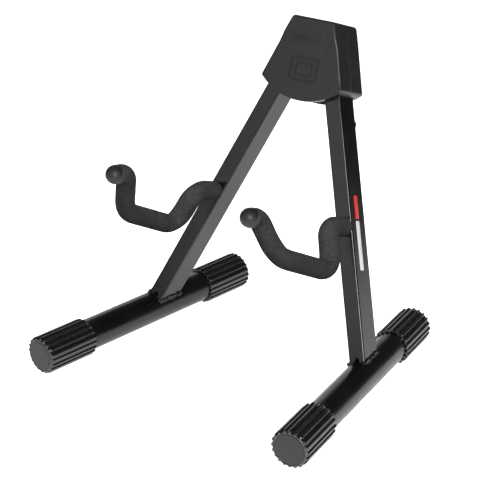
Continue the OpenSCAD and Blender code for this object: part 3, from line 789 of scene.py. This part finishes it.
def weld_bead(side, flip):
    """Lumpy beads along both sides of the leg, hooked round its corners."""
    rng = random.Random(71 if side == "right" else 44)
    bm = bmesh.new()
    hx, hy, c = LEG_W / 2, LEG_D / 2, LEG_CORNER
    steps = 44
    for sx in (-1, 1):
        hook_front = rng.uniform(1.2, 3.2)
        hook_rear = rng.uniform(3.0, 5.0)
        path = [(sx * (hx - c - t * hook_front), -hy) for t in (1.0, 0.8, 0.6, 0.4, 0.2, 0.0)]
        path += [(sx * (hx - c + c * math.sin(a)), -hy + c - c * math.cos(a))
                 for a in (0.4, 0.8, 1.2)]
        path += [(sx * hx, -hy + c + (2 * hy - 2 * c) * k / steps) for k in range(steps + 1)]
        path += [(sx * (hx - c + c * math.cos(a)), hy - c + c * math.sin(a))
                 for a in (0.4, 0.8, 1.2)]
        path += [(sx * (hx - c - t * hook_rear), hy) for t in (0.0, 0.25, 0.5, 0.75, 1.0)]
        samples, total = resample([Vector((x, y, on_foot(x, y))) for x, y in path], 0.55)
        loops = []
        for k, (p, d) in enumerate(samples):
            a = samples[max(0, k - 2)][0]
            b = samples[min(len(samples) - 1, k + 2)][0]
            t = (b - a).normalized()
            # The bead's section is set up from the direction out of the leg's face.
            out_leg = Vector((sx, 0, 0))
            if abs(p.y) > hy - 0.5 and abs(p.x) < hx - c:
                out_leg = Vector((0, math.copysign(1, p.y), 0))
            elif abs(p.y) > hy - 0.5:
                out_leg = Vector((p.x, p.y, 0)).normalized()
            across = (out_leg - t * out_leg.dot(t)).normalized()
            up = t.cross(across).normalized()
            if up.z < 0:
                up = -up
            taper = min(1.0, math.sqrt(max(0.02, min(d, total - d) / BEAD_TAPER)))
            phase = (d / BEAD_PITCH + 0.25 * noise3((d, sx, 0), 5.0, 7.0)) % 1.0
            lump = 0.55 + 0.6 * (1 - (2 * phase - 1) ** 2)
            wide = 1 + 0.6 * noise3((d, 3 * sx, 1), 4.0, 2.0)
            r = BEAD_R * taper * lump * wide
            centre = p + across * BEAD_LIFT + up * BEAD_LIFT
            ring = []
            for q in range(20):
                co, si = math.cos(2 * math.pi * q / 20), math.sin(2 * math.pi * q / 20)
                rr = r * (1 + 0.2 * noise3((d, 1.6 * co, 1.6 * si), 1.3, 5.0 + sx))
                ring.append(centre + across * (rr * co) + up * (rr * si))
            loops.append(ring)
        skin(bm, loops)
    # A little spatter sits on the leg above the joint.
    for _ in range(5):
        sx = rng.choice((-1, 1))
        y = rng.uniform(-13, 13)
        z = on_foot(hx, y) + rng.uniform(3.5, 7.0)
        ball = bmesh.ops.create_icosphere(bm, subdivisions=2, radius=rng.uniform(0.35, 0.65))
        for v in ball["verts"]:
            v.co = v.co + Vector((sx * (hx + 0.05), y, z))
    outward(bm)
    finish_mesh(bm, side + "_weld", flip @ LEG, side + "_leg", [MAT["weld"]],
                [side + "_weld_beads"], 60.0)


# ---------------------------- yokes
CAP_BACK = 4.0
LIPS = {"right": (21.5, -54.5), "left": (30.5, -63.5)}
# How far each sleeve sits back on its rod along the seat, and how deep it sags at its first bend.
SLIP = {"right": 3.2, "left": 0.0}
SAG = 2.8
# Bends narrower than this fold the foam over their whole turn.
TIGHT_BEND = 30.0


def yoke_steps(side):
    """Steps of a yoke rod: straight length, turn upwards in degrees, radius of that turn."""
    lip, turn = LIPS[side]
    return ((21.0, -87.0, 20.0), (10.5, 95.5, 21.0), (69.0, 47.5, 43.0), (lip, turn, 18.0),
            (8.0, 0.0, 0.0))


def along(heading):
    """Unit vector of a heading in the yoke's plane."""
    return Vector((math.cos(heading), math.sin(heading)))


def leftward(heading):
    return Vector((-math.sin(heading), math.cos(heading)))


def yoke_path(steps, lead, tail, straight_step=1.6, turn_step=3.2):
    """Centre line in the yoke's plane, x away from the leg and y up: (s, point, heading, bend).
    On a bend, bend is (sign, angle so far, whole turn, radius), and None on a straight."""
    out = []
    pos, heading, s = Vector((0.0, 0.0)), 0.0, 0.0
    for k, (run, turn, bend_r) in enumerate(steps):
        last = k == len(steps) - 1
        a = lead if k == 0 else 0.0
        b = run - tail if last else run
        count = max(2, int((b - a) / straight_step))
        for j in range(count + 1 if last else count):
            d = a + (b - a) * j / count
            out.append((s + d, pos + along(heading) * d, heading, None))
        if last:
            break
        pos = pos + along(heading) * run
        s += run
        total = math.radians(abs(turn))
        sign = 1.0 if turn > 0 else -1.0
        count = max(3, int(abs(turn) / turn_step * bend_r / 20.0))
        centre = pos + leftward(heading) * sign * bend_r
        for j in range(count):
            ang = total * j / count
            h = heading + sign * ang
            p = centre - leftward(h) * sign * bend_r
            out.append((s + bend_r * ang, p, h, (sign, ang, total, bend_r)))
        heading += sign * total
        pos = centre - leftward(heading) * sign * bend_r
        s += bend_r * total
    return out


def tip_frame(side):
    """Frame of the round end: origin at its centre, Z along the tip."""
    last = yoke_path(yoke_steps(side), 0.0, 0.0)[-1]
    y, z = -last[1].x, YOKE_RISE + last[1].y
    return move(0, -LEG_D / 2 + y, z) @ rot("X", math.pi / 2 - last[2])


def crease(u, bend, r):
    """How far a point at offset u towards the bend's centre moves into the foam."""
    _, ang, total, bend_r = bend
    tight = bend_r < TIGHT_BEND
    near = smooth((u + 0.1 * r) / (1.1 * r))
    # A tight bend folds over its whole turn, a wide one only near its start.
    fold = total / 2 if tight else math.radians(13.0)
    beta = fold - abs(ang - (total / 2 if tight else 0.4 * total))
    # A soft fillet at the middle of the crease.
    soft = math.radians(5.0)
    beta = max(0.0, fold - math.sqrt((fold - beta) ** 2 + soft * soft) + soft * 0.35)
    return (bend_r - u) * (1 / math.cos(beta) - 1) * near * 0.92


def foam_sleeve(side, flip):
    """Foam sleeve on the bent rod: creased in the tight inner corners, slightly lumpy."""
    seed = 11.0 if side == "right" else 29.0
    path = yoke_path(yoke_steps(side), 0.3, CAP_BACK)
    first, last = path[0], path[-1]
    total_s = last[0]
    count = 64

    def place(p, u, w, pull):
        q = p + u
        return Vector((w, -LEG_D / 2 - q.x + pull, YOKE_RISE + q.y))

    def tapered(radius, s):
        """The sleeve is a little tighter near its tip."""
        return radius - 0.4 * smooth((s - total_s + 9.0) / 9.0)

    def plain_ring(item, radius):
        """A round ring, for the ends and the bore."""
        s, p, h, _ = item
        if radius > ROD_R + 1:
            radius = tapered(radius, s)
        turns = (2 * math.pi * k / count for k in range(count))
        return [place(p, leftward(h) * (radius * math.cos(a)), radius * math.sin(a), 0.0)
                for a in turns]

    def foam_ring(item):
        """A ring of the outer surface, with its lumps, creases and sag."""
        s, p, h, bend = item
        radius = tapered(FOAM_R, s)
        # The soft sleeve sags where it leaves the leg, and is pulled back along its seat.
        sag = smooth((s - 32.0) / 14.0) * smooth((94.0 - s) / 26.0)
        pull = SLIP[side] * smooth((s - 36.0) / 16.0) * smooth((214.0 - s) / 40.0)
        ring = []
        for k in range(count):
            ang = 2 * math.pi * k / count
            u, w = radius * math.cos(ang), radius * math.sin(ang)
            lumps = (1 + 0.016 * noise3((s, u, w), 15.0, seed)
                     + 0.008 * noise3((s, u, w), 5.0, seed + 4))
            u, w = u * lumps, w * lumps
            u -= SAG * sag * max(0.0, -u / radius)
            w *= 1 + 0.05 * sag
            if bend:
                sign, done, total, _ = bend
                toward = u * sign
                lift = crease(toward, bend, radius)
                # Compression ripples beside the crease, and a little bulge sideways.
                mid = math.cos(math.pi * (done / total - 0.5)) * (total / 1.8)
                if toward > 0:
                    ripple = math.cos((done - total / 2) * 9.0)
                    w *= 1 + 0.035 * mid * toward / radius
                    lift += 0.18 * mid * ripple * (toward / radius) ** 2
                u -= sign * lift
            ring.append(place(p, leftward(h) * u, w, pull))
        return ring

    def rounded_end(item, ds, r, a):
        """A ring of the rounded edge at one end of the sleeve, of radius r, at the angle a."""
        s, p, h, bend = item
        ds *= 1 - math.cos(a)
        return plain_ring((s + ds, p + along(h) * ds, h, bend), FOAM_R - r + r * math.sin(a))

    quarter = [math.pi / 2 * k / 4 for k in range(1, 5)]
    loops = [plain_ring(first, ROD_R + 0.4), plain_ring(first, FOAM_R * 0.9)]
    loops += [rounded_end(first, 1.0, 1.0, a) for a in quarter]
    loops += [foam_ring(item) for item in path[1:-1] if first[0] + 1.6 < item[0] < total_s - 1.0]
    loops += [rounded_end(last, -0.7, 0.7, a) for a in reversed(quarter)]
    loops += [plain_ring(last, FOAM_R * 0.9), plain_ring(last, ROD_R + 0.4)]
    loops += [plain_ring(item, ROD_R + 0.06) for item in reversed(path)]
    bm = bmesh.new()
    skin(bm, loops + [loops[0]], closed=False)
    bmesh.ops.remove_doubles(bm, verts=bm.verts, dist=1e-4)
    outward(bm)
    obj = finish_mesh(bm, side + "_foam_sleeve", flip @ LEG, side + "_leg",
                      [MAT["foam"]], [side + "_yoke_foam"], 0)


def yoke_cap(side, flip):
    """Domed plastic end: a rounded rim against the foam, a groove, then the dome."""
    r = TIP_R
    back = -CAP_BACK + 0.15
    profile = [(ROD_R + 0.06, back)]
    profile += [(r + dr, back + h) for dr, h in (
        (-0.6, 0.0), (-0.1, 0.12), (0.18, 0.4), (0.25, 0.8), (0.22, 1.2), (0.05, 1.6),
        (-0.3, 1.9), (-0.6, 2.05), (-0.65, 2.3), (-0.5, 2.6), (-0.12, 3.0))]
    dome = back + 3.35
    for k in range(18):
        a = math.pi / 2 * k / 18
        profile.append(((r - 0.05) * math.cos(a), dome + (r - dome) * math.sin(a)))
    profile.append((0.0, r))
    bm = bmesh.new()
    lathe(bm, profile)
    finish_mesh(bm, side + "_dome_cap", flip @ LEG @ tip_frame(side), side + "_leg",
                [MAT["end_cap"]], [side + "_yoke_cap"], 40.0)


# ---------------------------- release button
def release_button():
    """Domed button with its stem and the flange that keeps it in."""
    r, inner = BUTTON_R, LEG_D / 2 - TUBE_WALL
    top, flange, end = LEG_D / 2 + BUTTON_OUT, inner - FLANGE_LOW, STEM_ROOM - inner
    profile = [(0, top)]
    profile += [(r * math.sin(math.radians(a)), top - r + r * math.cos(math.radians(a)))
                for a in range(6, 91, 6)]
    profile += [(r, inner - 0.3), (FLANGE_R - 0.2, inner - 0.35), (FLANGE_R, inner - 0.6),
                (FLANGE_R, flange + 0.2), (FLANGE_R - 0.2, flange), (STEM_R, flange),
                (STEM_R, end + 0.4), (STEM_R - 0.4, end), (0, end)]
    bm = bmesh.new()
    lathe(bm, profile, move(0, 0, BUTTON_RISE) @ rot("X", -math.pi / 2), 64)
    finish_mesh(bm, "button_dome", LEG, "button", [MAT["button"]],
                ["release_button"], 40.0)


def return_spring():
    """Coil spring round the button's stem, at its rest length; nothing here shortens it as the
    button goes in.
    """
    inner = LEG_D / 2 - TUBE_WALL
    wire, coil_r, turns, gap = 0.6, 5.0, 6.0, 0.05
    top, low = inner - (FLANGE_LOW + gap) - wire, gap + wire - inner
    per_turn, sides = 30, 10
    loops = []
    for k in range(int(turns * per_turn) + 1):
        turn = k / per_turn
        a = 2 * math.pi * turn
        # Half a turn at each end lies flat.
        rise = min(1.0, max(0.0, (turn - 0.5) / (turns - 1.0)))
        out = Vector((math.cos(a), 0.0, math.sin(a)))
        centre = out * coil_r + Vector((0.0, low + (top - low) * rise, 0.0))
        ring = []
        for q in range(sides):
            b = 2 * math.pi * q / sides
            up = Vector((0.0, wire * math.sin(b), 0.0))
            ring.append(centre + out * (wire * math.cos(b)) + up)
        loops.append(ring)
    bm = bmesh.new()
    skin(bm, loops)
    outward(bm)
    place = LEG @ move(0, 0, BUTTON_RISE)
    obj = finish_mesh(bm, "return_spring", place, "right_leg", [MAT["spring"]],
                      ["button_spring"], 50.0)
    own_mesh(obj)


def leg_marks():
    """Two plain bars printed on the outer face of the right leg."""
    width, corner_r, ink, bevel, middle_y = 8.0, 1.2, 0.12, 0.1, -1.5
    x = LEG_W / 2
    for name, z0, z1, mat in (("leg_mark_pale", 118.6, 176.4, "mark_pale"),
                              ("leg_mark_red", 178.7, 206.2, "mark_red")):
        length, middle_z = z1 - z0, (z0 + z1) / 2
        ring = rounded_rect(width, length, corner_r)
        loops = []
        for lift, sy, sz in ((-0.05, 1.0, 1.0), (0.6 * ink, 1.0, 1.0),
                             (ink, 1 - 2 * bevel / width, 1 - bevel / length)):
            loops.append([(x + lift, middle_y + y * sy, middle_z + z * sz) for y, z in ring])
        bm = bmesh.new()
        skin(bm, loops)
        outward(bm)
        finish_mesh(bm, name, LEG, "right_leg", [MAT[mat]])


# ---------------------------- build
cover("front_shell", BLOCK_FRONT, "front_cover", brow_h=2.2)
cover("rear_shell", -BLOCK_REAR, "rear_cover")
raised_frames()
cover_screws()
for side, flip in SIDES:
    foot_tube(side, flip)
    foot_cap(side + "_front_rib_cap", side, flip, move(0, -REACH_FRONT, 0),
             side + "_front_foot_cap")
    foot_cap(side + "_rear_rib_cap", side, flip, move(0, REACH_REAR, 0) @ rot("Z", math.pi),
             side + "_rear_foot_cap")
    weld_bead(side, flip)
    foam_sleeve(side, flip)
    yoke_cap(side, flip)
release_button()
return_spring()
leg_marks()

# CAD pieces that are kept as they are, with their materials.
KEPT = {
    "front_hinge_plate": "plate", "rear_hinge_plate": "plate",
    "left_pivot_pin": "pin", "right_pivot_pin": "pin",
    "left_stop_pin": "pin", "right_stop_pin": "pin",
    "left_pivot_bushes": "bush", "right_pivot_bushes": "bush",
    "left_yoke_rod": "rod", "right_yoke_rod": "rod",
}
for node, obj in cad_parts.items():
    if obj.hide_render:
        continue
    if node.endswith("_leg_tube"):
        new = LEG_MAT[node.split("_")[0]]
    else:
        new = MAT[KEPT[node]]
    for holder in obj.material_slots:
        holder.material = new
    if not obj.material_slots:
        obj.data.materials.append(new)

# ---------------------------- floor, light, camera
WHITE = (1, 1, 1, 1)


def paper_material():
    """Pale paper that glows, painted light: evenly bright where the camera sees it, falling off
    with distance in reflections.
    """
    n = Nodes("floor_pale")
    n.finish((0.9, 0.9, 0.9), 0.9, Specular_IOR_Level=0.1)
    n.bsdf.inputs["Emission Color"].default_value = WHITE

    def distance_from(point):
        d = n.add("ShaderNodeVectorMath", operation="DISTANCE")
        n.link(n.coord, "Object", d, 0)
        d.inputs[1].default_value = point
        return d.outputs["Value"]

    glow = n.span(distance_from((0.0, 0.0, 0.0)), 0.35, 1.9, 0.62, 0.12, False)
    # A painted shadow: the paper's glow is dimmed to half at its middle, ahead of the left foot.
    dim = n.span(distance_from((-0.35, -0.25, 0.0)), 0.12, 0.5, 0.5, 1.0)
    ray = n.add("ShaderNodeLightPath")
    glow = n.math("ADD", n.math("MULTIPLY", glow, dim),
                  n.math("MULTIPLY", ray.outputs["Is Camera Ray"], 0.6))
    n.put(n.bsdf.inputs["Emission Strength"], glow)
    return n.mat


floor_bm = bmesh.new()
bmesh.ops.create_circle(floor_bm, cap_ends=True, segments=96, radius=2.0)
floor = plain_object(floor_bm, "floor")
floor.data.materials.append(paper_material())
floor.visible_diffuse = False

# The backdrop is pale to the camera; the room that lights the object is dim.
world = bpy.data.worlds.new("studio")
bpy.context.scene.world = world
world.use_nodes = True
tree = world.node_tree
room = tree.nodes["Background"]
backdrop = tree.nodes.new("ShaderNodeBackground")
for background, strength in ((room, 0.05), (backdrop, 0.97)):
    background.inputs["Color"].default_value = WHITE
    background.inputs["Strength"].default_value = strength
seen = tree.nodes.new("ShaderNodeLightPath")
choose = tree.nodes.new("ShaderNodeMixShader")
tree.links.new(seen.outputs["Is Camera Ray"], choose.inputs[0])
tree.links.new(room.outputs[0], choose.inputs[1])
tree.links.new(backdrop.outputs[0], choose.inputs[2])
tree.links.new(choose.outputs[0], tree.nodes["World Output"].inputs["Surface"])


def area_light(name, place, target, size, power, glossy=True, diffuse=True):
    """A rectangular light that the camera does not see."""
    data = bpy.data.lights.new(name, "AREA")
    data.shape = "RECTANGLE"
    data.size, data.size_y = size
    data.energy = power
    obj = bpy.data.objects.new(name, data)
    obj.location = place
    obj.rotation_euler = (Vector(target) - Vector(place)).to_track_quat("-Z", "Y").to_euler()
    obj.visible_glossy = glossy
    obj.visible_diffuse = diffuse
    obj.visible_camera = False
    bpy.context.scene.collection.objects.link(obj)


area_light("key", (1.75, -2.0, 1.6), (0, 0, 0.2), (1.3, 1.5), 85.0, glossy=False)
area_light("sparkle", (1.82, -1.92, 1.6), (0, 0, 0.3), (1.0, 1.1), 78.0, diffuse=False)
area_light("front", (-0.75, -2.1, 1.15), (0, 0, 0.25), (1.7, 1.7), 9.5)
area_light("back_left", (-1.9, 1.9, 0.75), (0, 0, 0.15), (2.2, 1.4), 8.0)
area_light("top", (-0.5, -0.9, 2.6), (0, 0, 0.15), (1.6, 1.6), 30.0, glossy=False)
area_light("right", (2.3, 0.3, 1.7), (0, 0, 0.15), (1.4, 1.4), 22.0, glossy=False)

CAMERA_AZ, CAMERA_EL = math.radians(36.28), math.radians(24.0)
CAMERA_AT = (1.0058, -1.3884, 0.9208)
CAMERA_LENS, SENSOR = 120.65, 36.0
cam_data = bpy.data.cameras.new("camera")
cam_data.sensor_width = SENSOR
cam_data.lens = CAMERA_LENS
cam_data.clip_start = 0.05
cam_data.clip_end = 60.0
cam = bpy.data.objects.new("camera", cam_data)
view_dir = Vector((-math.sin(CAMERA_AZ) * math.cos(CAMERA_EL),
                   math.cos(CAMERA_AZ) * math.cos(CAMERA_EL), -math.sin(CAMERA_EL)))
cam.location = CAMERA_AT
cam.rotation_euler = view_dir.to_track_quat("-Z", "Y").to_euler()
bpy.context.scene.collection.objects.link(cam)
bpy.context.scene.camera = cam
bpy.context.scene.view_settings.view_transform = "Standard"
